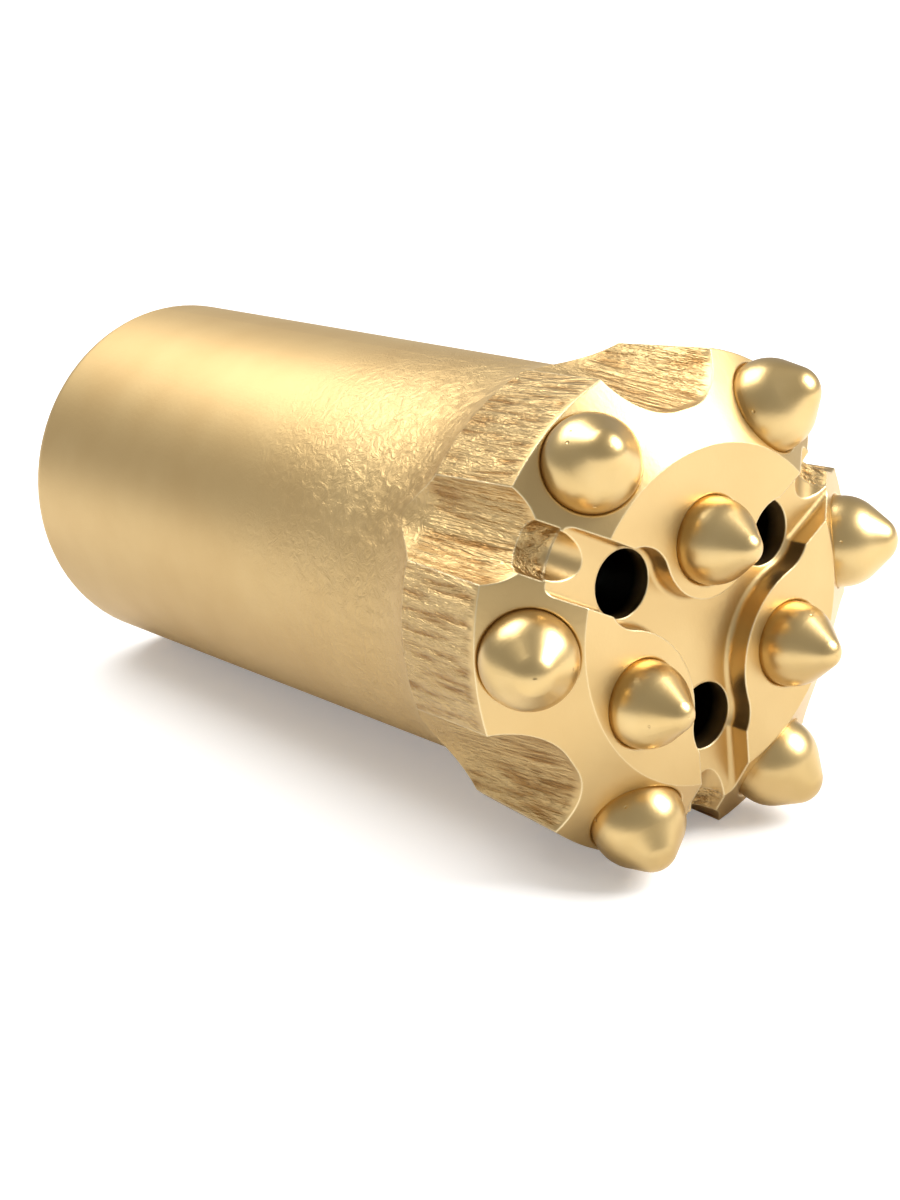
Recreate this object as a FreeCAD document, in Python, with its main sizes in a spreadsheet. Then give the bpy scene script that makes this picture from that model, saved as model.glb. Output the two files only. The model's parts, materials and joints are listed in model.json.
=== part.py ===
"""Rock-drilling button bit, lying on its side: a forged steel body and nine press-fitted inserts.

Every piece is drawn along the bit's own axis: the face lies in the plane x = 0 and looks along +X,
the skirt runs back to x = -total_length, and an azimuth counts from +Y towards +Z.  One placement,
worked out at the end, then lays the whole bit on the floor: it rests on the rear rim of its skirt
and on the head's two corners beside the lowest groove.  Lengths are in millimetres and angles in
degrees.
"""
import FreeCAD
import Part
import math
import os

import Sketcher
from FreeCAD import Placement, Rotation, Vector

SIZES = (
    # outside of the body
    ("total_length", 114.0),                      # face to rear end of the skirt
    ("head_radius", 29.5),                        # where the gauge cone meets the side panels
    # the sizes below are drawn for a head radius of 29.5 and keep step with the head
    ("head_scale", "=head_radius / 29.5"),
    ("face_radius", "=19.7 * head_scale"),        # flat face
    ("gauge_angle", 35.0),                        # gauge cone against the face
    ("panel_taper", 4.0),                         # back taper of the side panels
    ("head_length", "=20.8 * head_scale"),        # face to rear edge of the side panels
    ("shoulder_radius", "=20.0 * head_scale"),    # hollow of the shoulder behind the panels
    ("skirt_radius", "=24.7 * head_scale"),
    ("rim_radius", "=2.6 * head_scale"),          # rounding of the skirt's rear rim
    # drill-rod socket
    ("thread_radius", 16.2),                      # bore at the roots of the rope thread
    ("thread_length", 46.0),
    ("mouth_length", 14.0),
    ("mouth_step", 0.6),                          # plain mouth is wider than the thread's roots
    ("mouth_radius", "=thread_radius + mouth_step"),
    ("mouth_chamfer", 1.2),
    ("seat_ledge", 3.2),                          # taper down to the seat of the rod's end face
    ("socket_end_radius", "=thread_radius - seat_ledge"),
    ("socket_end_taper", 3.0),
    # chip scallops and flushing grooves along the head
    ("scallop_floor", "=23.4 * head_scale"),      # floor's distance from the axis, at the face
    ("scallop_slope", 4.1),                       # floor rises towards the shoulder
    ("scallop_corner", "=8.0 * head_scale"),
    ("scallop_flat", "=2.4 * head_scale"),
    ("groove_floor", "=25.4 * head_scale"),
    ("groove_radius", "=6.0 * head_scale"),
    ("groove_lag", 0.9),                          # degrees from a flushing hole back to its groove
    # milled face pocket round the flushing holes
    ("pocket_depth", "=2.9 * head_scale"),
    ("pocket_fillet", "=0.7 * head_scale"),
    ("slot_width", "=7.7 * head_scale"),
    ("counterbore_radius", "=4.6 * head_scale"),
    ("hole_radius", "=3.95 * head_scale"),
    ("hole_circle", "=12.8 * head_scale"),        # flushing holes from the axis, in the face
    ("hole_foot", "=6.04 * head_scale"),          # the same at the seat of the socket
    ("solid_length", "=total_length - mouth_length - thread_length - socket_end_taper"),
    ("hole_tilt", "=atan((hole_circle - hole_foot) / (solid_length - pocket_depth)) / 1 deg"),
    ("island_centre", "=17.7 * head_scale"),      # centre of the two long islands' inner arcs
    ("channel_radius", "=2.75 * head_scale"),
    ("channel_depth", "=2.5 * head_scale"),
    ("outlet_radius", "=3.0 * head_scale"),
    ("outlet_depth", "=2.8 * head_scale"),
    ("outlet_start", "=24.0 * head_scale"),       # where the outlet begins, from the axis
    # inserts
    ("near_circle", "=9.0 * head_scale"),         # one front insert stands nearer the axis
    ("far_circle", "=13.6 * head_scale"),         # the other two
    ("front_radius", "=5.0 * head_scale"),
    ("front_shank", "=9.5 * head_scale"),
    ("front_collar", "=0.35 * head_scale"),
    ("front_shoulder", "=5.2 * head_scale"),      # arc between collar and flank
    ("front_flank", 38.5),                        # flank against the insert's axis
    ("front_nose", "=2.1 * head_scale"),
    ("gauge_circle", "=24.7 * head_scale"),
    ("gauge_spread", 26.5),                       # gauge inserts either side of a flushing hole
    ("gauge_radius", "=5.5 * head_scale"),
    ("gauge_shank", "=9.5 * head_scale"),
    ("gauge_collar", "=0.4 * head_scale"),
    ("gauge_shoulder", "=5.2 * head_scale"),
    ("gauge_flank", 43.0),
    ("gauge_nose", "=3.1 * head_scale"),
    ("shank_chamfer", "=0.8 * head_scale"),
    ("seat_clearance", 0.02),                     # round the shank, which stands on its seat
    ("seat_chamfer", 0.3),
)
HOLES = (30.0, 150.0, 270.0)                      # azimuths of the flushing holes
HALF_STEP = 60.0                                  # from a hole to the scallop beside it
SCALLOPS = tuple(hole + HALF_STEP for hole in HOLES)

doc = FreeCAD.newDocument("button_bit")
sheet = doc.addObject("Spreadsheet::Sheet", "Sizes")
for row, (alias, value) in enumerate(SIZES, start=1):
    sheet.set("A%d" % row, alias)
    sheet.set("B%d" % row, str(value))
    sheet.setAlias("B%d" % row, alias)
doc.recompute()


def size(name):
    """A value from the sheet."""
    return float(sheet.get(name))


def sine(angle):
    return math.sin(math.radians(angle))


def cosine(angle):
    return math.cos(math.radians(angle))


def tangent(angle):
    return math.tan(math.radians(angle))


def polar(radius, azimuth):
    """A point of a cross-section, in that section's own two axes."""
    return Vector(radius * cosine(azimuth), radius * sine(azimuth), 0)


# ---------------------------------------------------------------- sketches and features
def origin_object(body, role):
    return next(item for item in body.Origin.OriginFeatures if item.Role == role)


def new_body(label):
    body = doc.addObject("PartDesign::Body", label)
    body.Label = label
    return body


def new_sketch(body, name, role, offset=None):
    sketch = body.newObject("Sketcher::SketchObject", name)
    sketch.AttachmentSupport = [(origin_object(body, role), "")]
    sketch.MapMode = "FlatFace"
    if offset is not None:
        sketch.AttachmentOffset = offset
    return sketch


def bind(sketch, kind, places, value, expression):
    """A dimension of the sketch that follows the sheet."""
    index = sketch.addConstraint(Sketcher.Constraint(kind, *places, value))
    sketch.setExpression("Constraints[%d]" % index, expression)


def fix(sketch, kind, *places):
    sketch.addConstraint(Sketcher.Constraint(kind, *places))


def line(sketch, start, end):
    return sketch.addGeometry(Part.LineSegment(start, end), False)


def arc(sketch, centre, radius, start, end):
    """An arc that runs anticlockwise between two points of its circle."""
    first = math.atan2(start.y - centre.y, start.x - centre.x)
    last = math.atan2(end.y - centre.y, end.x - centre.x)
    circle = Part.Circle(centre, Vector(0, 0, 1), radius)
    return sketch.addGeometry(Part.ArcOfCircle(circle, first, last), False)


def circle(sketch, centre, radius, radius_name, grow=""):
    """A full circle whose radius follows the sheet."""
    index = sketch.addGeometry(Part.Circle(centre, Vector(0, 0, 1), radius), False)
    bind(sketch, "Radius", (index,), radius, "Sizes." + radius_name + grow)
    if centre.x == 0:
        fix(sketch, "PointOnObject", index, 3, -2)
    if centre.y == 0:
        fix(sketch, "PointOnObject", index, 3, -1)
    return index


def join_loop(sketch, pieces, smooth=()):
    """Each piece of an outline starts where the one before it stops; the pieces named as smooth
    run on into the next without a corner."""
    for index, following in zip(pieces, pieces[1:] + pieces[:1]):
        fix(sketch, "Tangent" if index in smooth else "Coincident", index, 2, following, 1)


def revolve(body, name, kind, sketch, axis):
    feature = body.newObject("PartDesign::" + kind, name)
    feature.Profile = sketch
    feature.ReferenceAxis = (sketch, [axis])
    feature.Angle = 360.0
    doc.recompute()
    return feature


def pocket(body, name, sketch, depth=None, reverse=False):
    """A cut along the sketch's normal: to a depth from the sheet, or right through both ways."""
    before = body.Shape.Volume
    feature = body.newObject("PartDesign::Pocket", name)
    feature.Profile = sketch
    if depth is None:
        feature.Midplane = True
        feature.setExpression("Length", "4 * Sizes.total_length")
    else:
        feature.Reversed = reverse
        feature.setExpression("Length", depth)
    doc.recompute()
    if not body.Shape.Volume < before:
        raise RuntimeError(name + " cuts nothing")
    return feature


def three_times(body, name, features):
    """The same cuts repeated round the bit's axis."""
    before = body.Shape.Volume
    pattern = body.newObject("PartDesign::PolarPattern", name)
    pattern.Originals = features
    pattern.Axis = (origin_object(body, "X_Axis"), [""])
    pattern.Angle = 360.0
    pattern.Occurrences = 3
    body.Tip = pattern
    doc.recompute()
    if not body.Shape.Volume < before:
        raise RuntimeError(name + " cuts nothing")
    return pattern


def fillet_edges(body, name, edges, radius):
    base = body.Tip
    fillet = body.newObject("PartDesign::Fillet", name)
    fillet.Base = (base, edges)
    fillet.setExpression("Radius", radius)
    doc.recompute()


def section(radius, azimuth, ahead, tilt):
    """A sketch plane across the bit: centred at a radius and an azimuth, a distance ahead of the
    face, and with its normal turned from the bit's axis outwards by the tilt."""
    turn = Rotation(Vector(0, 0, 1), azimuth) * Rotation(Vector(0, 1, 0), tilt)
    return Placement(polar(radius, azimuth) + Vector(0, 0, ahead), turn)


# ---------------------------------------------------------------- steel body
def cone_depth(radius):
    """How far the gauge cone lies behind the face at a radius."""
    return (radius - size("face_radius")) * tangent(size("gauge_angle"))


def outline(body):
    """Half section of the outside: face, gauge cone, tapered panel, hollow shoulder, skirt."""
    sketch = new_sketch(body, "Outline", "XZ_Plane")
    length = size("total_length")
    skirt = size("skirt_radius")
    hollow = size("shoulder_radius")
    head = size("head_radius")
    edge_x = -cone_depth(head)
    panel_x = -size("head_length")
    panel = head - (edge_x - panel_x) * tangent(size("panel_taper"))
    climb = panel - skirt
    hollow_x = panel_x - math.sqrt(2 * hollow * climb - climb ** 2)
    rear = line(sketch, Vector(-length, 0, 0), Vector(-length, skirt, 0))
    side = line(sketch, Vector(-length, skirt, 0), Vector(hollow_x, skirt, 0))
    shoulder = arc(sketch, Vector(hollow_x, skirt + hollow, 0), hollow,
                   Vector(hollow_x, skirt, 0), Vector(panel_x, panel, 0))
    wing = line(sketch, Vector(panel_x, panel, 0), Vector(edge_x, head, 0))
    cone = line(sketch, Vector(edge_x, head, 0), Vector(0, size("face_radius"), 0))
    face = line(sketch, Vector(0, size("face_radius"), 0), Vector(0, 0, 0))
    core = line(sketch, Vector(0, 0, 0), Vector(-length, 0, 0))
    join_loop(sketch, [rear, side, shoulder, wing, cone, face, core], smooth=[side])
    fix(sketch, "Coincident", core, 1, -1, 1)
    fix(sketch, "Horizontal", core)
    fix(sketch, "Vertical", rear)
    fix(sketch, "Vertical", face)
    fix(sketch, "Horizontal", side)
    bind(sketch, "DistanceX", (rear, 1, -1, 1), length, "Sizes.total_length")
    bind(sketch, "DistanceY", (-1, 1, side, 1), skirt, "Sizes.skirt_radius")
    bind(sketch, "DistanceY", (-1, 1, cone, 1), head, "Sizes.head_radius")
    bind(sketch, "DistanceY", (-1, 1, cone, 2), size("face_radius"), "Sizes.face_radius")
    bind(sketch, "DistanceX", (wing, 1, -1, 1), -panel_x, "Sizes.head_length")
    cone_rule = "(Sizes.head_radius - Sizes.face_radius) * tan(Sizes.gauge_angle)"
    bind(sketch, "DistanceX", (cone, 1, -1, 1), -edge_x, cone_rule)
    bind(sketch, "DistanceY", (wing, 1, wing, 2), head - panel,
         "(Sizes.head_length - %s) * tan(Sizes.panel_taper)" % cone_rule)
    bind(sketch, "Radius", (shoulder,), hollow, "Sizes.shoulder_radius")
    revolve(body, "Forging", "Revolution", sketch, "H_Axis")


def rod_socket(body):
    """Half section of the drill rod's socket: chamfered plain mouth, thread bore, tapered seat."""
    sketch = new_sketch(body, "SocketSection", "XZ_Plane")
    rear = -size("total_length")
    chamfer = size("mouth_chamfer")
    mouth = size("mouth_radius")
    mouth_x = rear + size("mouth_length")
    thread = size("thread_radius")
    thread_x = mouth_x + size("thread_length")
    seat = size("socket_end_radius")
    seat_x = thread_x + size("socket_end_taper")
    corners = [Vector(rear, 0, 0), Vector(rear, mouth + chamfer, 0), Vector(rear + chamfer, mouth, 0),
               Vector(mouth_x, mouth, 0), Vector(mouth_x, thread, 0), Vector(thread_x, thread, 0),
               Vector(seat_x, seat, 0), Vector(seat_x, 0, 0)]
    sides = [line(sketch, start, end) for start, end in zip(corners, corners[1:] + corners[:1])]
    join_loop(sketch, sides)
    for index in (0, 3, 6):
        fix(sketch, "Vertical", sides[index])
    for index in (2, 4, 7):
        fix(sketch, "Horizontal", sides[index])
    fix(sketch, "PointOnObject", sides[0], 1, -1)
    bind(sketch, "DistanceX", (sides[0], 1, -1, 1), -rear, "Sizes.total_length")
    bind(sketch, "DistanceY", (-1, 1, sides[2], 1), mouth, "Sizes.mouth_radius")
    bind(sketch, "DistanceY", (-1, 1, sides[4], 1), thread, "Sizes.thread_radius")
    bind(sketch, "DistanceY", (-1, 1, sides[5], 2), seat, "Sizes.socket_end_radius")
    bind(sketch, "DistanceX", (sides[0], 1, sides[2], 2), mouth_x - rear, "Sizes.mouth_length")
    bind(sketch, "DistanceX", (sides[4], 1, sides[4], 2), thread_x - mouth_x, "Sizes.thread_length")
    bind(sketch, "DistanceX", (sides[5], 1, sides[5], 2), seat_x - thread_x,
         "Sizes.socket_end_taper")
    bind(sketch, "DistanceX", (sides[1], 1, sides[1], 2), chamfer, "Sizes.mouth_chamfer")
    bind(sketch, "DistanceY", (sides[1], 2, sides[1], 1), chamfer, "Sizes.mouth_chamfer")
    before = body.Shape.Volume
    revolve(body, "RodSocket", "Groove", sketch, "H_Axis")
    if not body.Shape.Volume < before:
        raise RuntimeError("the socket cuts nothing")


def round_rim(body):
    """The skirt's outer rear edge is rounded."""
    centre = Vector(-size("total_length"), 0, 0)
    edges = []
    for number, edge in enumerate(body.Tip.Shape.Edges, start=1):
        curve = edge.Curve
        if hasattr(curve, "Radius") and curve.Center.isEqual(centre, 0.001):
            if abs(curve.Radius - size("skirt_radius")) < 0.001:
                edges.append("Edge%d" % number)
    fillet_edges(body, "RearRim", edges, "Sizes.rim_radius")


def chip_scallops(body):
    """Three wide scallops let the cuttings pass; their floors rise towards the shoulder."""
    slope = size("scallop_slope")
    offset = Placement(Vector(0, 0, 0), Rotation(Vector(1, 0, 0), slope))
    sketch = new_sketch(body, "ScallopSection", "YZ_Plane", offset)
    floor = size("scallop_floor") * cosine(slope)
    corner = size("scallop_corner")
    half = size("scallop_flat") / 2
    top = floor + 2 * corner
    bottom = line(sketch, Vector(-half, floor, 0), Vector(half, floor, 0))
    right = arc(sketch, Vector(half, floor + corner, 0), corner,
                Vector(half, floor, 0), Vector(half + corner, floor + corner, 0))
    rise = line(sketch, Vector(half + corner, floor + corner, 0), Vector(half + corner, top, 0))
    lid = line(sketch, Vector(half + corner, top, 0), Vector(-half - corner, top, 0))
    fall = line(sketch, Vector(-half - corner, top, 0), Vector(-half - corner, floor + corner, 0))
    left = arc(sketch, Vector(-half, floor + corner, 0), corner,
               Vector(-half - corner, floor + corner, 0), Vector(-half, floor, 0))
    join_loop(sketch, [bottom, right, rise, lid, fall, left], smooth=[bottom, right, fall, left])
    fix(sketch, "Vertical", rise)
    fix(sketch, "Horizontal", lid)
    fix(sketch, "Symmetric", bottom, 1, bottom, 2, -2)
    bind(sketch, "Radius", (right,), corner, "Sizes.scallop_corner")
    bind(sketch, "Radius", (left,), corner, "Sizes.scallop_corner")
    bind(sketch, "DistanceX", (bottom, 1, bottom, 2), 2 * half, "Sizes.scallop_flat")
    bind(sketch, "DistanceY", (-1, 1, bottom, 1), floor,
         "Sizes.scallop_floor * cos(Sizes.scallop_slope)")
    three_times(body, "Scallops", [pocket(body, "Scallop", sketch)])


def groove_azimuth():
    return HOLES[0] - size("groove_lag")


def side_grooves(body):
    """Three narrow round grooves carry the flushing water back along the head."""
    sketch = new_sketch(body, "GrooveSection", "YZ_Plane", section(0, groove_azimuth(), 0, 0))
    radius = size("groove_radius")
    centre = Vector(size("groove_floor") + radius, 0, 0)
    index = circle(sketch, centre, radius, "groove_radius")
    bind(sketch, "DistanceX", (-1, 1, index, 3), centre.x,
         "Sizes.groove_floor + Sizes.groove_radius")
    three_times(body, "Grooves", [pocket(body, "Groove", sketch)])


def face_pocket(body):
    """The milled recess in the face: a counterbore round each flushing hole, a slot from it to the
    side, and between them a middle whose edges are the inner arcs of the three raised islands."""
    ring = size("hole_circle")
    bore = size("counterbore_radius")
    counterbore = new_sketch(body, "CounterboreSection", "YZ_Plane", section(0, HOLES[0], 0, 0))
    index = circle(counterbore, Vector(ring, 0, 0), bore, "counterbore_radius")
    bind(counterbore, "DistanceX", (-1, 1, index, 3), ring, "Sizes.hole_circle")
    slot = new_sketch(body, "SlotSection", "YZ_Plane", section(0, HOLES[0], 0, 0))
    half = size("slot_width") / 2
    far = size("head_radius") + size("groove_radius")
    corners = [Vector(ring, -half, 0), Vector(far, -half, 0), Vector(far, half, 0),
               Vector(ring, half, 0)]
    sides = [line(slot, start, end) for start, end in zip(corners, corners[1:] + corners[:1])]
    join_loop(slot, sides)
    fix(slot, "Horizontal", sides[0])
    fix(slot, "Vertical", sides[1])
    fix(slot, "Horizontal", sides[2])
    fix(slot, "Symmetric", sides[3], 1, sides[3], 2, -1)
    bind(slot, "DistanceY", (sides[1], 1, sides[1], 2), 2 * half, "Sizes.slot_width")
    bind(slot, "DistanceX", (-1, 1, sides[3], 1), ring, "Sizes.hole_circle")
    bind(slot, "DistanceX", (-1, 1, sides[1], 1), far, "Sizes.head_radius + Sizes.groove_radius")
    depth = "Sizes.pocket_depth"
    cuts = [pocket(body, "Counterbore", counterbore, depth), pocket(body, "Slot", slot, depth)]
    three_times(body, "CounterboresAndSlots", cuts)

    middle = new_sketch(body, "MiddleSection", "YZ_Plane")
    ends = []
    islands = zip(SCALLOPS, ("near_circle", "island_centre", "island_centre"))
    for azimuth, name in reversed(list(islands)):
        centre = polar(size(name), azimuth)
        before = polar(ring, azimuth + HALF_STEP)
        after = polar(ring, azimuth - HALF_STEP)
        radius = (centre - before).Length - bore
        start = before + (centre - before).normalize() * bore
        end = after + (centre - after).normalize() * bore
        edge = arc(middle, centre, radius, start, end)
        bind(middle, "DistanceX", (-1, 1, edge, 3), centre.x,
             "Sizes.%s * cos(%g deg)" % (name, azimuth))
        bind(middle, "DistanceY", (-1, 1, edge, 3), centre.y,
             "Sizes.%s * sin(%g deg)" % (name, azimuth))
        ends.append((edge, start, end))
    loop = []
    for (edge, _, end), (_, start, _) in zip(ends, ends[1:] + ends[:1]):
        loop += [edge, line(middle, end, start)]
    join_loop(middle, loop)
    pocket(body, "Middle", middle, depth)


def soften_pocket(body):
    """The cutter leaves a small radius along the foot of the pocket's walls."""
    floor = -size("pocket_depth")
    edges = []
    for number, edge in enumerate(body.Tip.Shape.Edges, start=1):
        box = edge.BoundBox
        on_floor = abs(box.XMin - floor) < 0.01 and abs(box.XMax - floor) < 0.01
        curve = edge.Curve
        round_bit = hasattr(curve, "Center") and math.hypot(curve.Center.y, curve.Center.z) < 0.01
        if on_floor and not round_bit:
            edges.append("Edge%d" % number)
    fillet_edges(body, "PocketFoot", edges, "Sizes.pocket_fillet")


def water_channels(body):
    """A half-round channel, wider at its outlet, leads from each slot down into its groove.  Both
    cuts lie parallel to the gauge cone, a little below it."""
    tilt = 90 + size("gauge_angle")
    cuts = []
    for name, start, through in (("channel", size("face_radius"), True),
                                 ("outlet", size("outlet_start"), False)):
        plane = section(start, groove_azimuth(), -cone_depth(start), tilt)
        sketch = new_sketch(body, name.capitalize() + "Section", "YZ_Plane", plane)
        radius = size(name + "_radius")
        centre = Vector(size(name + "_depth") - radius, 0, 0)
        index = circle(sketch, centre, radius, name + "_radius")
        bind(sketch, "DistanceX", (index, 3, -1, 1), -centre.x,
             "Sizes.%s_radius - Sizes.%s_depth" % (name, name))
        reach = None if through else "Sizes.head_radius"
        cuts.append(pocket(body, name.capitalize(), sketch, reach, reverse=True))
    three_times(body, "Channels", cuts)


def flushing_holes(body):
    """From the seat of the socket three holes spread out to the face."""
    tilt = size("hole_tilt")
    start = size("hole_circle") + size("pocket_depth") * tangent(tilt)
    sketch = new_sketch(body, "HoleSection", "YZ_Plane", section(start, HOLES[0], 0, tilt))
    circle(sketch, Vector(0, 0, 0), size("hole_radius"), "hole_radius")
    reach = "(Sizes.total_length - Sizes.mouth_length - Sizes.thread_length) / cos(Sizes.hole_tilt)"
    three_times(body, "FlushingHoles", [pocket(body, "FlushingHole", sketch, reach)])


def insert_places():
    """Label, kind and placement of each insert; its own axis is +Z and its base plane z = 0."""
    places = []
    angle = size("gauge_angle")
    circle_radius = size("gauge_circle")
    number = 0
    for hole in HOLES:
        for side in (-1, 1):
            number += 1
            azimuth = hole + side * size("gauge_spread")
            plane = section(circle_radius, azimuth, -cone_depth(circle_radius), angle)
            places.append(("gauge_button_%d" % number, "gauge", plane))
    for number, (azimuth, name) in enumerate(zip(SCALLOPS, ("near", "far", "far")), start=1):
        plane = section(size(name + "_circle"), azimuth, 0, 0)
        places.append(("front_button_%d" % number, "front", plane))
    return places


def insert_seats(body, places):
    """A drilled seat for each insert, with a small chamfer round every mouth."""
    for label, kind, plane in places:
        bore = new_sketch(body, "Seat_" + label, "YZ_Plane", plane)
        circle(bore, Vector(0, 0, 0), size(kind + "_radius") + size("seat_clearance"),
               kind + "_radius", " + Sizes.seat_clearance")
        pocket(body, "Drilled_" + label, bore, "Sizes.%s_shank" % kind)
    mouths = []
    for number, edge in enumerate(body.Tip.Shape.Edges, start=1):
        if any(is_mouth(edge, kind, plane) for _, kind, plane in places):
            mouths.append("Edge%d" % number)
    base = body.Tip
    chamfer = body.newObject("PartDesign::Chamfer", "SeatMouths")
    chamfer.Base = (base, mouths)
    chamfer.setExpression("Size", "Sizes.seat_chamfer")
    doc.recompute()


def is_mouth(edge, kind, plane):
    """Whether an edge runs round a seat's bore at the surface, not at its bottom."""
    bore = size(kind + "_radius") + size("seat_clearance")
    to_seat = into_bit(plane).inverse()
    for point in edge.discretize(5):
        local = to_seat.multVec(point)
        if abs(math.hypot(local.x, local.y) - bore) > 0.005 or local.z < -size(kind + "_shank") / 2:
            return False
    return True


def steel_body(places):
    body = new_body("bit_body")
    outline(body)
    rod_socket(body)
    round_rim(body)
    chip_scallops(body)
    side_grooves(body)
    face_pocket(body)
    soften_pocket(body)
    water_channels(body)
    flushing_holes(body)
    insert_seats(body, places)
    return body


# ---------------------------------------------------------------- carbide inserts
def insert(label, kind):
    """A ballistic insert on +Z: chamfered shank, collar, round shoulder, straight flank, nose."""
    body = new_body(label)
    sketch = new_sketch(body, label + "_section", "XZ_Plane")
    radius = size(kind + "_radius")
    shank = -size(kind + "_shank")
    chamfer = size("shank_chamfer")
    collar = size(kind + "_collar")
    shoulder = size(kind + "_shoulder")
    flank = size(kind + "_flank")
    nose = size(kind + "_nose")
    turn = Vector(radius - shoulder + shoulder * cosine(flank), collar + shoulder * sine(flank), 0)
    tip_x = nose * cosine(flank)
    tip_z = turn.y + (turn.x - tip_x) / tangent(flank)
    centre_z = tip_z - nose * sine(flank)
    points = [Vector(0, shank, 0), Vector(radius - chamfer, shank, 0),
              Vector(radius, shank + chamfer, 0), Vector(radius, collar, 0)]
    base = line(sketch, points[0], points[1])
    bevel = line(sketch, points[1], points[2])
    side = line(sketch, points[2], points[3])
    bulge = arc(sketch, Vector(radius - shoulder, collar, 0), shoulder, points[3], turn)
    slope = line(sketch, turn, Vector(tip_x, tip_z, 0))
    tip = arc(sketch, Vector(0, centre_z, 0), nose, Vector(tip_x, tip_z, 0),
              Vector(0, centre_z + nose, 0))
    core = line(sketch, Vector(0, centre_z + nose, 0), points[0])
    join_loop(sketch, [base, bevel, side, bulge, slope, tip, core], smooth=[side, bulge, slope])
    fix(sketch, "Horizontal", base)
    fix(sketch, "Vertical", side)
    fix(sketch, "PointOnObject", core, 1, -2)
    fix(sketch, "PointOnObject", core, 2, -2)
    fix(sketch, "PointOnObject", tip, 3, -2)
    bind(sketch, "DistanceX", (-1, 1, side, 2), radius, "Sizes.%s_radius" % kind)
    bind(sketch, "DistanceY", (base, 1, -1, 1), -shank, "Sizes.%s_shank" % kind)
    bind(sketch, "DistanceY", (-1, 1, side, 2), collar, "Sizes.%s_collar" % kind)
    bind(sketch, "DistanceX", (bevel, 1, bevel, 2), chamfer, "Sizes.shank_chamfer")
    bind(sketch, "DistanceY", (bevel, 1, bevel, 2), chamfer, "Sizes.shank_chamfer")
    bind(sketch, "Radius", (bulge,), shoulder, "Sizes.%s_shoulder" % kind)
    bind(sketch, "Radius", (tip,), nose, "Sizes.%s_nose" % kind)
    revolve(body, label + "_turned", "Revolution", sketch, "V_Axis")
    return body


# ---------------------------------------------------------------- how the bit lies
def head_corner():
    """The panel's front corner beside the lowest groove, the lowest point of the head."""
    head = size("head_radius")
    centre = size("groove_floor") + size("groove_radius")
    aside = (head ** 2 + centre ** 2 - size("groove_radius") ** 2) / (2 * head * centre)
    return Vector(-cone_depth(head), head * math.sqrt(1 - aside ** 2), -head * aside)


def lowest_of_rim(down):
    """How far the rounded rear rim reaches along a direction of the bit."""
    rim = size("rim_radius")
    return (size("total_length") - rim) * -down.x + (size("skirt_radius") - rim) * -down.z + rim


def resting_tilt():
    """The nose-up angle at which the rim and the two lowest corners of the head touch the floor."""
    low, high = -20.0, 20.0
    for _ in range(60):
        tilt = (low + high) / 2
        down = Vector(-sine(tilt), 0, -cosine(tilt))
        if head_corner().dot(down) > lowest_of_rim(down):
            low = tilt
        else:
            high = tilt
    return (low + high) / 2


def resting_placement():
    """Laid down on its lowest groove, with the origin at the outer end of the socket's mouth."""
    roll = Rotation(Vector(1, 0, 0), size("groove_lag"))
    turn = Rotation(Vector(0, 1, 0), -resting_tilt()) * roll
    mouth = Vector(size("mouth_chamfer") - size("total_length"), 0, 0)
    return Placement(turn.multVec(mouth) * -1, turn)


def into_bit(plane):
    """A section plane's placement, given in the bit's own X, Y and Z."""
    swap = Rotation(Vector(0, 1, 0), Vector(0, 0, 1), Vector(1, 0, 0), "XYZ")
    return Placement(Vector(0, 0, 0), swap).multiply(plane)


places = insert_places()
lie = resting_placement()
parts = [steel_body(places)]
for label, kind, plane in places:
    body = insert(label, kind)
    body.Placement = lie.multiply(into_bit(plane))
    parts.append(body)
parts[0].Placement = lie
doc.recompute()

for item in doc.Objects:
    if "Invalid" in item.State or "Error" in item.State:
        raise RuntimeError(item.Name + " has failed: " + str(item.State))
for part in parts:
    if part.Shape.isNull() or not part.Shape.isValid() or len(part.Shape.Solids) != 1:
        raise RuntimeError(part.Label + " is not one valid solid")

os.makedirs("parts", exist_ok=True)
for part in parts:
    part.Shape.exportStep(os.path.join("parts", part.Label + ".step"))
    print("%s %.1f mm3" % (part.Label, part.Shape.Volume))
print("tilt %.3f" % resting_tilt())
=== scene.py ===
import json
import math

import bpy
from mathutils import Matrix, Quaternion, Vector


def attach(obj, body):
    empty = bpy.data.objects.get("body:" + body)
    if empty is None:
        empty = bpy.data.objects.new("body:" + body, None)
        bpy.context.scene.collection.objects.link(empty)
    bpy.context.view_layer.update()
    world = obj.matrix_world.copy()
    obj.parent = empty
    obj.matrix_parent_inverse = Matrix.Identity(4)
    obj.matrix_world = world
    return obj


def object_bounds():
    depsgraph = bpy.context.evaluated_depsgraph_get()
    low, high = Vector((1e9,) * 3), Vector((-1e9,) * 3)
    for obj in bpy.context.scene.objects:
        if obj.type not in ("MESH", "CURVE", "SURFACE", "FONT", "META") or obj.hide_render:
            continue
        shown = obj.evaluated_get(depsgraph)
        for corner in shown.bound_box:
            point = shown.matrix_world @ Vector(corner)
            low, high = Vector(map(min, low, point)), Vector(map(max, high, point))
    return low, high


# A threaded button drill bit of the 60 mm class, lying on its side, sprayed all over
# with one satin gold lacquer. Sizes are in millimetres and become metres through MM.
MM = 0.001

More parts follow.
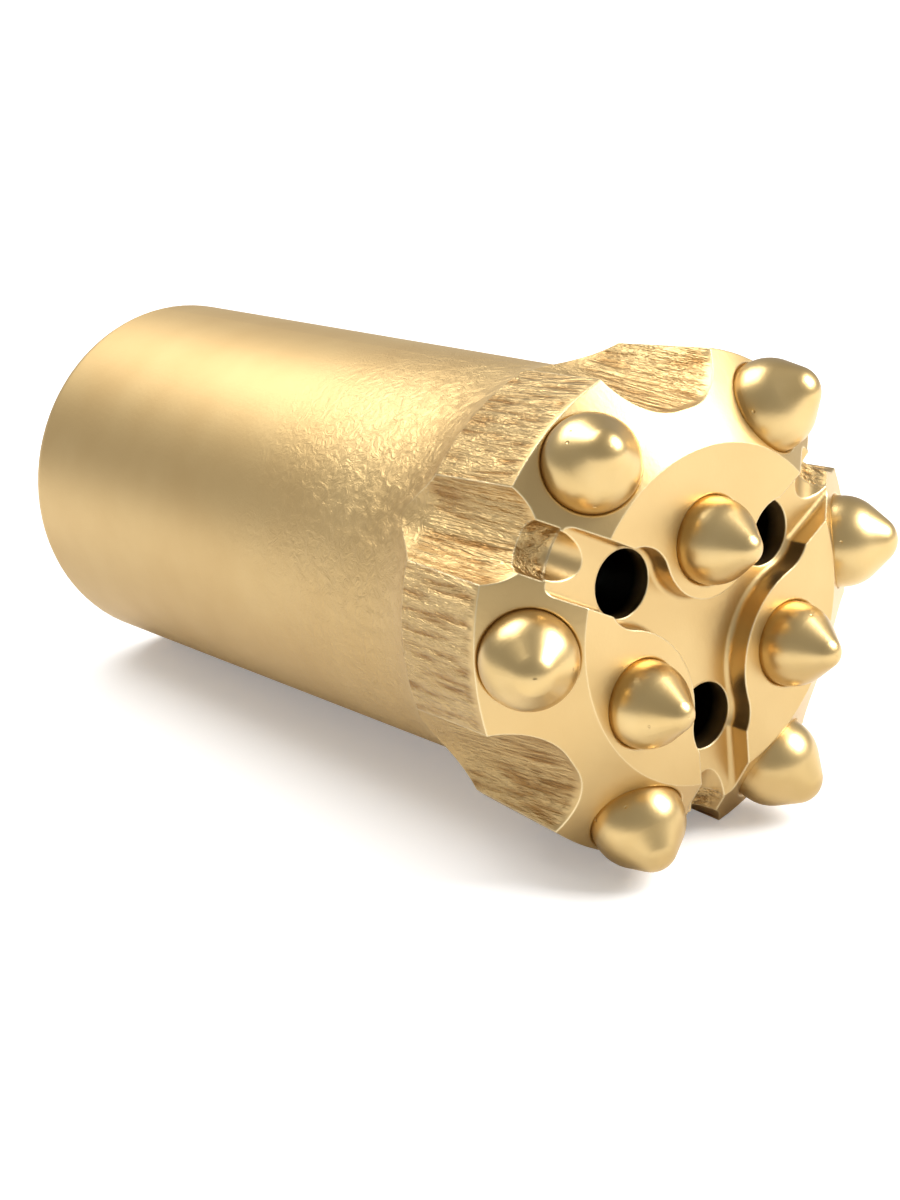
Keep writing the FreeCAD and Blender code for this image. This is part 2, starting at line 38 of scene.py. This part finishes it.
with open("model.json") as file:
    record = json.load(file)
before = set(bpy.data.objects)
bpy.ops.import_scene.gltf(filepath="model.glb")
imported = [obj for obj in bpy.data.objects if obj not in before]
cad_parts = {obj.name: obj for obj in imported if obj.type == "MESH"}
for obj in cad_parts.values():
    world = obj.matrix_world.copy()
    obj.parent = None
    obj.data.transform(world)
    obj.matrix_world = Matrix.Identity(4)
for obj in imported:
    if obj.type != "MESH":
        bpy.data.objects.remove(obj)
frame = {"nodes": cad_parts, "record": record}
cad_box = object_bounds()
bpy.ops.object.select_all(action="DESELECT")

# The bit lies with its head a little raised. Its own axis starts at the socket's mouth.
MOUTH = next(m for m in frame["record"]["mounts"] if m["name"] == "socket_mouth")
THREAD = next(m for m in frame["record"]["mounts"] if m["name"] == "thread_socket")
LEAN = math.atan2(-MOUTH["axis"][2], -MOUTH["axis"][0])
BIT_TO_ROW = Matrix.Translation(MOUTH["pos_m"]) @ Matrix.Rotation(-LEAN, 4, "Y")


# --- Colour and nodes ---------------------------------------------------------------


def linear(hex_colour):
    """An sRGB hex colour as the linear colour that a shader socket takes."""
    parts = [int(hex_colour[i : i + 2], 16) / 255 for i in (1, 3, 5)]
    curve = [c / 12.92 if c <= 0.04045 else ((c + 0.055) / 1.055) ** 2.4 for c in parts]
    return (*curve, 1.0)


def add_node(tree, kind, settings=None, links=None):
    """A node with its settings; a link is a socket, or a value that is set directly."""
    node = tree.nodes.new(kind)
    for name, value in (settings or {}).items():
        setattr(node, name, value)
    for socket, value in (links or {}).items():
        if isinstance(value, bpy.types.NodeSocket):
            tree.links.new(value, node.inputs[socket])
        else:
            node.inputs[socket].default_value = value
    return node


def new_material(name):
    material = bpy.data.materials.new(name)
    material.use_nodes = True
    material.node_tree.nodes.clear()
    return material, material.node_tree


def dress(node_name, material):
    """Gives a carried-over CAD solid its finish."""
    solid = frame["nodes"][node_name]
    solid.data.materials.clear()
    solid.data.materials.append(material)


# --- Finishes -----------------------------------------------------------------------

# Places on the bit, along its axis from the mouth or out from it. In each pair the
# finish starts at the first and is full at the second.
SHOULDER = (89.0, 91.5)
HEAD_SIDE = (22.6, 23.4)
UNDER_CONE = (0.2, 1.4)
SCALE_FROM_REAR = (48.0, 88.0)
SCALE_FROM_FRONT = (104.0, 92.0)
HOLE_MOUTH = (108.9, 107.2)
HOLE_RADIUS = (17.6, 17.2)
SMOOTHER = (84.0, 96.0)

# The gauge cone: a point's depth under it is this much, less its share of the place
# along the axis and its share of the radius.
CONE_REACH = 103.7
CONE_ALONG = 0.819
CONE_ACROSS = 0.574

# How many of each pattern's marks lie in a millimetre, and how deep they are
STREAKS_PER_MM = 0.9
STREAK_STRETCH = 0.09
STREAK_DEPTH = 1.1
WRINKLES_PER_MM = 0.55
WRINKLE_DEPTH = 0.32
PEEL_PER_MM = 1.7
PEEL_DEPTH = 0.05
MOTTLE_PER_MM = 0.09
CORNER_RADIUS = 0.35
CARBIDE_PEEL_PER_MM = 2.2
CARBIDE_PEEL_DEPTH = 0.03
CARBIDE_MOTTLE_PER_MM = 0.2
PITS_PER_MM = 0.33
PIT_DEPTH = 0.12


def bit_coordinates(tree):
    """The place on the bit in millimetres, its share along the axis, and its radius."""
    place = add_node(tree, "ShaderNodeTexCoord")
    bit = add_node(
        tree,
        "ShaderNodeMapping",
        {},
        {"Vector": place.outputs["Object"], "Rotation": (0, LEAN, 0), "Scale": (1 / MM,) * 3},
    )
    axis = add_node(tree, "ShaderNodeSeparateXYZ", {}, {0: bit.outputs[0]})
    across = add_node(
        tree, "ShaderNodeVectorMath", {"operation": "MULTIPLY"}, {0: bit.outputs[0], 1: (0, 1, 1)}
    )
    radius = add_node(tree, "ShaderNodeVectorMath", {"operation": "LENGTH"}, {0: across.outputs[0]})
    return bit.outputs[0], axis.outputs["X"], radius.outputs["Value"]


def lacquered_steel():
    """Satin gold lacquer on forged and milled steel: a soft metallic sheen over hammered
    scale behind the head, lengthwise forging streaks on the head's side and fine grain."""
    material, tree = new_material("gold_lacquer_on_forged_steel")
    bit, along, radius = bit_coordinates(tree)
    # forged skin: the head's outer side, behind the gauge cone, in front of the shoulder
    cone_gap = add_node(
        tree,
        "ShaderNodeMath",
        {"operation": "MULTIPLY_ADD"},
        {0: radius, 1: -CONE_ACROSS, 2: CONE_REACH},
    )
    cone_gap = add_node(
        tree,
        "ShaderNodeMath",
        {"operation": "MULTIPLY_ADD"},
        {0: along, 1: -CONE_ALONG, 2: cone_gap.outputs[0]},
    )
    behind_cone = add_node(
        tree,
        "ShaderNodeMapRange",
        {},
        {"Value": cone_gap.outputs[0], "From Min": UNDER_CONE[0], "From Max": UNDER_CONE[1]},
    )
    head = add_node(
        tree,
        "ShaderNodeMapRange",
        {},
        {"Value": along, "From Min": SHOULDER[0], "From Max": SHOULDER[1]},
    )
    outside = add_node(
        tree,
        "ShaderNodeMapRange",
        {},
        {"Value": radius, "From Min": HEAD_SIDE[0], "From Max": HEAD_SIDE[1]},
    )
    forged = add_node(
        tree,
        "ShaderNodeMath",
        {"operation": "MULTIPLY"},
        {0: head.outputs[0], 1: outside.outputs[0]},
    )
    forged = add_node(
        tree,
        "ShaderNodeMath",
        {"operation": "MULTIPLY"},
        {0: forged.outputs[0], 1: behind_cone.outputs[0]},
    )
    # hammered scale: strongest at the shoulder, gone by the middle of the skirt and by
    # the front of the head
    scale = add_node(
        tree,
        "ShaderNodeMapRange",
        {},
        {"Value": along, "From Min": SCALE_FROM_REAR[0], "From Max": SCALE_FROM_REAR[1]},
    )
    skin = add_node(
        tree,
        "ShaderNodeMapRange",
        {},
        {"Value": along, "From Min": SCALE_FROM_FRONT[0], "From Max": SCALE_FROM_FRONT[1]},
    )
    scale = add_node(
        tree,
        "ShaderNodeMath",
        {"operation": "MULTIPLY"},
        {0: scale.outputs[0], 1: skin.outputs[0]},
    )
    # streaks about 1 mm apart and ten times as long
    long_way = add_node(
        tree, "ShaderNodeMapping", {}, {"Vector": bit, "Scale": (STREAK_STRETCH, 1.0, 1.0)}
    )
    streaks = add_node(
        tree,
        "ShaderNodeTexNoise",
        {},
        {
            "Vector": long_way.outputs[0],
            "Scale": STREAKS_PER_MM,
            "Detail": 4.0,
            "Roughness": 0.6,
            "Distortion": 0.25,
        },
    )
    # wrinkled scale about 2 mm across
    wrinkles = add_node(
        tree,
        "ShaderNodeTexNoise",
        {},
        {
            "Vector": bit,
            "Scale": WRINKLES_PER_MM,
            "Detail": 5.0,
            "Roughness": 0.62,
            "Distortion": 1.6,
        },
    )
    # orange peel of the sprayed lacquer, 0.6 mm
    grain = add_node(
        tree,
        "ShaderNodeTexNoise",
        {},
        {"Vector": bit, "Scale": PEEL_PER_MM, "Detail": 3.0, "Roughness": 0.6},
    )
    soft_edge = add_node(tree, "ShaderNodeBevel", {"samples": 6}, {"Radius": CORNER_RADIUS * MM})
    peel = add_node(
        tree,
        "ShaderNodeBump",
        {},
        {
            "Height": grain.outputs["Fac"],
            "Strength": 0.35,
            "Distance": PEEL_DEPTH * MM,
            "Normal": soft_edge.outputs[0],
        },
    )
    hammered = add_node(
        tree,
        "ShaderNodeBump",
        {},
        {
            "Height": wrinkles.outputs["Fac"],
            "Strength": scale.outputs[0],
            "Distance": WRINKLE_DEPTH * MM,
            "Normal": peel.outputs[0],
        },
    )
    streaked = add_node(
        tree,
        "ShaderNodeBump",
        {},
        {
            "Height": streaks.outputs["Fac"],
            "Strength": forged.outputs[0],
            "Distance": STREAK_DEPTH * MM,
            "Normal": hammered.outputs[0],
        },
    )
    # colour: a slightly mottled pale gold, with painted shade (browner) in the streaks' hollows
    mottle = add_node(
        tree, "ShaderNodeTexNoise", {}, {"Vector": bit, "Scale": MOTTLE_PER_MM, "Detail": 3.0}
    )
    gold = add_node(
        tree,
        "ShaderNodeMix",
        {"data_type": "RGBA"},
        {0: mottle.outputs["Fac"], 6: linear("#C8A770"), 7: linear("#D8BC86")},
    )
    # painted shade: browner gold where the streak bump is low
    streak_shade = add_node(
        tree,
        "ShaderNodeMapRange",
        {},
        {"Value": streaks.outputs["Fac"], "From Min": 0.52, "From Max": 0.36},
    )
    streak_shade = add_node(
        tree,
        "ShaderNodeMath",
        {"operation": "MULTIPLY"},
        {0: streak_shade.outputs[0], 1: forged.outputs[0]},
    )
    gold = add_node(
        tree,
        "ShaderNodeMix",
        {"data_type": "RGBA"},
        {0: streak_shade.outputs[0], 6: gold.outputs[2], 7: linear("#A37C48")},
    )
    # painted highlight: paler gold on the corners, where the softened edge leaves the true surface
    surface = add_node(tree, "ShaderNodeNewGeometry")
    edge_highlight = add_node(
        tree,
        "ShaderNodeVectorMath",
        {"operation": "DOT_PRODUCT"},
        {0: soft_edge.outputs[0], 1: surface.outputs["Normal"]},
    )
    edge_highlight = add_node(
        tree,
        "ShaderNodeMapRange",
        {},
        {"Value": edge_highlight.outputs["Value"], "From Min": 0.99, "From Max": 0.93},
    )
    gold = add_node(
        tree,
        "ShaderNodeMix",
        {"data_type": "RGBA"},
        {0: edge_highlight.outputs[0], 6: gold.outputs[2], 7: linear("#F0DDB0")},
    )
    # painted shade: near-black colour deep inside the flushing holes and the socket
    deep = add_node(
        tree,
        "ShaderNodeMapRange",
        {},
        {"Value": along, "From Min": HOLE_MOUTH[0], "From Max": HOLE_MOUTH[1]},
    )
    inner = add_node(
        tree,
        "ShaderNodeMapRange",
        {},
        {"Value": radius, "From Min": HOLE_RADIUS[0], "From Max": HOLE_RADIUS[1]},
    )
    deep = add_node(
        tree,
        "ShaderNodeMath",
        {"operation": "MULTIPLY"},
        {0: deep.outputs[0], 1: inner.outputs[0]},
    )
    colour = add_node(
        tree,
        "ShaderNodeMix",
        {"data_type": "RGBA"},
        {0: deep.outputs[0], 6: gold.outputs[2], 7: linear("#2A2118")},
    )
    # a little smoother on the milled head than on the skirt
    rough = add_node(
        tree,
        "ShaderNodeMapRange",
        {},
        {
            "Value": along,
            "From Min": SMOOTHER[0],
            "From Max": SMOOTHER[1],
            "To Min": 0.47,
            "To Max": 0.37,
        },
    )
    lacquer = add_node(
        tree,
        "ShaderNodeBsdfPrincipled",
        {},
        {
            "Base Color": colour.outputs[2],
            "Metallic": 1.0,
            "Roughness": rough.outputs[0],
            "Normal": streaked.outputs[0],
        },
    )
    add_node(tree, "ShaderNodeOutputMaterial", {}, {"Surface": lacquer.outputs[0]})
    return material


def lacquered_carbide():
    """The same lacquer on ground tungsten carbide: smoother, with a few tiny pits."""
    material, tree = new_material("gold_lacquer_on_ground_carbide")
    bit = bit_coordinates(tree)[0]
    grain = add_node(
        tree, "ShaderNodeTexNoise", {}, {"Vector": bit, "Scale": CARBIDE_PEEL_PER_MM, "Detail": 2.0}
    )
    peel = add_node(
        tree,
        "ShaderNodeBump",
        {},
        {
            "Height": grain.outputs["Fac"],
            "Strength": 0.25,
            "Distance": CARBIDE_PEEL_DEPTH * MM,
        },
    )
    pits = add_node(
        tree,
        "ShaderNodeTexVoronoi",
        {},
        {"Vector": bit, "Scale": PITS_PER_MM, "Randomness": 1.0},
    )
    pit = add_node(
        tree,
        "ShaderNodeMapRange",
        {},
        {"Value": pits.outputs["Distance"], "From Min": 0.07, "From Max": 0.03},
    )
    dented = add_node(
        tree,
        "ShaderNodeBump",
        {"invert": True},
        {
            "Height": pit.outputs[0],
            "Strength": 0.6,
            "Distance": PIT_DEPTH * MM,
            "Normal": peel.outputs[0],
        },
    )
    mottle = add_node(
        tree,
        "ShaderNodeTexNoise",
        {},
        {"Vector": bit, "Scale": CARBIDE_MOTTLE_PER_MM, "Detail": 2.0},
    )
    gold = add_node(
        tree,
        "ShaderNodeMix",
        {"data_type": "RGBA"},
        {0: mottle.outputs["Fac"], 6: linear("#CDAD72"), 7: linear("#DBC08A")},
    )
    lacquer = add_node(
        tree,
        "ShaderNodeBsdfPrincipled",
        {},
        {
            "Base Color": gold.outputs[2],
            "Metallic": 1.0,
            "Roughness": 0.33,
            "Normal": dented.outputs[0],
        },
    )
    add_node(tree, "ShaderNodeOutputMaterial", {}, {"Surface": lacquer.outputs[0]})
    return material


steel_finish = lacquered_steel()
carbide_finish = lacquered_carbide()
for name in frame["nodes"]:
    dress(name, steel_finish if name == "bit_body" else carbide_finish)


# --- Rope thread in the socket ----------------------------------------------------------

THREAD_START = 12.8
THREAD_LENGTH = THREAD["dims"]["length_mm"]
THREAD_ROOT = THREAD["dims"]["r_mm"]
PITCH = 12.7
RIDGE_HEIGHT = 1.5
RIDGE_HALF_WIDTH = 3.3
RIDGE_CORNERS = 14
# the share of the ridge's outer half that is left, sunk in the steel
RIDGE_FOOT = 0.06
TURNS = 5
STEPS_PER_TURN = 48
END_CUT = 0.1


def rope_thread():
    """One rounded left-hand ridge that winds along the bore, cut off square at both ends."""
    bpy.ops.object.select_all(action="DESELECT")
    bpy.ops.mesh.primitive_circle_add(
        vertices=RIDGE_CORNERS,
        radius=RIDGE_HALF_WIDTH * MM,
        location=(THREAD_START * MM - PITCH * MM, 0, THREAD_ROOT * MM),
        rotation=(math.pi / 2, 0, 0),
    )
    ridge = bpy.context.active_object
    ridge.name = "rope_thread"
    bpy.ops.object.transform_apply(location=False, rotation=True, scale=True)
    # the loop is flattened to the ridge's height; its outer half stays in the steel
    for vertex in ridge.data.vertices:
        lower = vertex.co.z < 0
        vertex.co.z *= RIDGE_HEIGHT / RIDGE_HALF_WIDTH if lower else RIDGE_FOOT
    bpy.ops.object.transform_apply(location=True, rotation=True, scale=True)
    winding = ridge.modifiers.new("winding", "SCREW")
    winding.axis = "X"
    winding.angle = -2 * math.pi * TURNS
    winding.screw_offset = PITCH * MM * TURNS
    winding.steps = STEPS_PER_TURN * TURNS
    winding.render_steps = STEPS_PER_TURN * TURNS
    winding.use_merge_vertices = False
    bpy.ops.object.modifier_apply(modifier="winding")
    bpy.ops.object.mode_set(mode="EDIT")
    rear_end = THREAD_START + END_CUT
    front_end = THREAD_START + THREAD_LENGTH - END_CUT
    for place, keep in ((rear_end, "inner"), (front_end, "outer")):
        bpy.ops.mesh.select_all(action="SELECT")
        bpy.ops.mesh.bisect(
            plane_co=(place * MM, 0, 0),
            plane_no=(1, 0, 0),
            use_fill=True,
            clear_inner=keep == "inner",
            clear_outer=keep == "outer",
        )
    bpy.ops.mesh.select_all(action="SELECT")
    bpy.ops.mesh.normals_make_consistent(inside=False)
    bpy.ops.object.mode_set(mode="OBJECT")
    ridge.matrix_world = BIT_TO_ROW
    bpy.ops.object.transform_apply(location=True, rotation=True, scale=True)
    bpy.ops.object.shade_smooth_by_angle(angle=math.radians(40))
    ridge.data.materials.append(steel_finish)
    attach(ridge, "root")


rope_thread()


# --- Floor, light and camera ----------------------------------------------------------

# Sizes, places and powers here are in metres and watts.
FLOOR_SIZE = 6.0
GLOW_NEAR, GLOW_FAR = 0.25, 1.0
GLOW_GROWS = (0.3, 0.9)
TENT_LIGHT = 0.42
MIDDLE = (0.06, 0.0, 0.0)


def white_floor():
    """Matt white studio paper, which keeps the bit's shadow."""
    material, tree = new_material("matt_white_paper")
    ray = add_node(tree, "ShaderNodeLightPath")
    paper = add_node(tree, "ShaderNodeBsdfDiffuse", {}, {"Color": linear("#F4F4F4")})
    place = add_node(tree, "ShaderNodeTexCoord")
    far = add_node(
        tree, "ShaderNodeVectorMath", {"operation": "LENGTH"}, {0: place.outputs["Object"]}
    )
    # the paper glows more away from the part, where the lamps no longer reach
    lift = add_node(
        tree,
        "ShaderNodeMapRange",
        {},
        {
            "Value": far.outputs["Value"],
            "From Min": GLOW_GROWS[0],
            "From Max": GLOW_GROWS[1],
            "To Min": GLOW_NEAR,
            "To Max": GLOW_FAR,
        },
    )
    glow = add_node(
        tree, "ShaderNodeEmission", {}, {"Color": linear("#FFFFFF"), "Strength": lift.outputs[0]}
    )
    nothing = add_node(tree, "ShaderNodeEmission", {}, {"Strength": 0.0})
    seen = add_node(
        tree,
        "ShaderNodeMixShader",
        {},
        {0: ray.outputs["Is Camera Ray"], 1: nothing.outputs[0], 2: glow.outputs[0]},
    )
    both = add_node(tree, "ShaderNodeAddShader", {}, {0: paper.outputs[0], 1: seen.outputs[0]})
    add_node(tree, "ShaderNodeOutputMaterial", {}, {"Surface": both.outputs[0]})
    return material


bpy.ops.object.select_all(action="DESELECT")
bpy.ops.mesh.primitive_plane_add(size=FLOOR_SIZE, location=(0, 0, cad_box[0].z))
floor = bpy.context.active_object
floor.name = "studio_floor"
bpy.ops.object.transform_apply(location=True, rotation=True, scale=True)
floor.data.materials.append(white_floor())

world = bpy.data.worlds.new("light_tent")
bpy.context.scene.world = world
world.use_nodes = True
world.node_tree.nodes.clear()
tent = world.node_tree
ray = add_node(tent, "ShaderNodeLightPath")
dim = add_node(
    tent, "ShaderNodeBackground", {}, {"Color": linear("#FFFFFF"), "Strength": TENT_LIGHT}
)
white = add_node(tent, "ShaderNodeBackground", {}, {"Color": linear("#FFFFFF"), "Strength": 1.0})
sky = add_node(
    tent,
    "ShaderNodeMixShader",
    {},
    {0: ray.outputs["Is Camera Ray"], 1: dim.outputs[0], 2: white.outputs[0]},
)
add_node(tent, "ShaderNodeOutputWorld", {}, {"Surface": sky.outputs[0]})


def softbox(name, spot, aim, side, power):
    """A square lamp that faces the part."""
    lamp = bpy.data.lights.new(name, "AREA")
    lamp.shape = "RECTANGLE"
    lamp.size = lamp.size_y = side
    lamp.energy = power
    holder = bpy.data.objects.new(name, lamp)
    bpy.context.scene.collection.objects.link(holder)
    holder.location = spot
    holder.rotation_euler = (Vector(aim) - Vector(spot)).to_track_quat("-Z", "Y").to_euler()


softbox("overhead_box", (-0.35, -0.1, 0.7), MIDDLE, 0.55, 6.0)
softbox("right_box", (0.55, 0.5, 0.5), MIDDLE, 0.45, 9.0)

camera = bpy.data.cameras.new("camera")
camera.lens = 66.5
camera.clip_start = 0.01
viewer = bpy.data.objects.new("camera", camera)
bpy.context.scene.collection.objects.link(viewer)
viewer.location = Vector((279.09, -165.86, 92.95)) * MM
sight = Vector((63.2, 0.69, -5.83)) * MM - viewer.location
roll = Quaternion((0, 0, 1), math.radians(-3.65))
viewer.rotation_mode = "QUATERNION"
viewer.rotation_quaternion = sight.to_track_quat("-Z", "Y") @ roll
bpy.context.scene.camera = viewer
bpy.context.scene.view_settings.view_transform = "Standard"
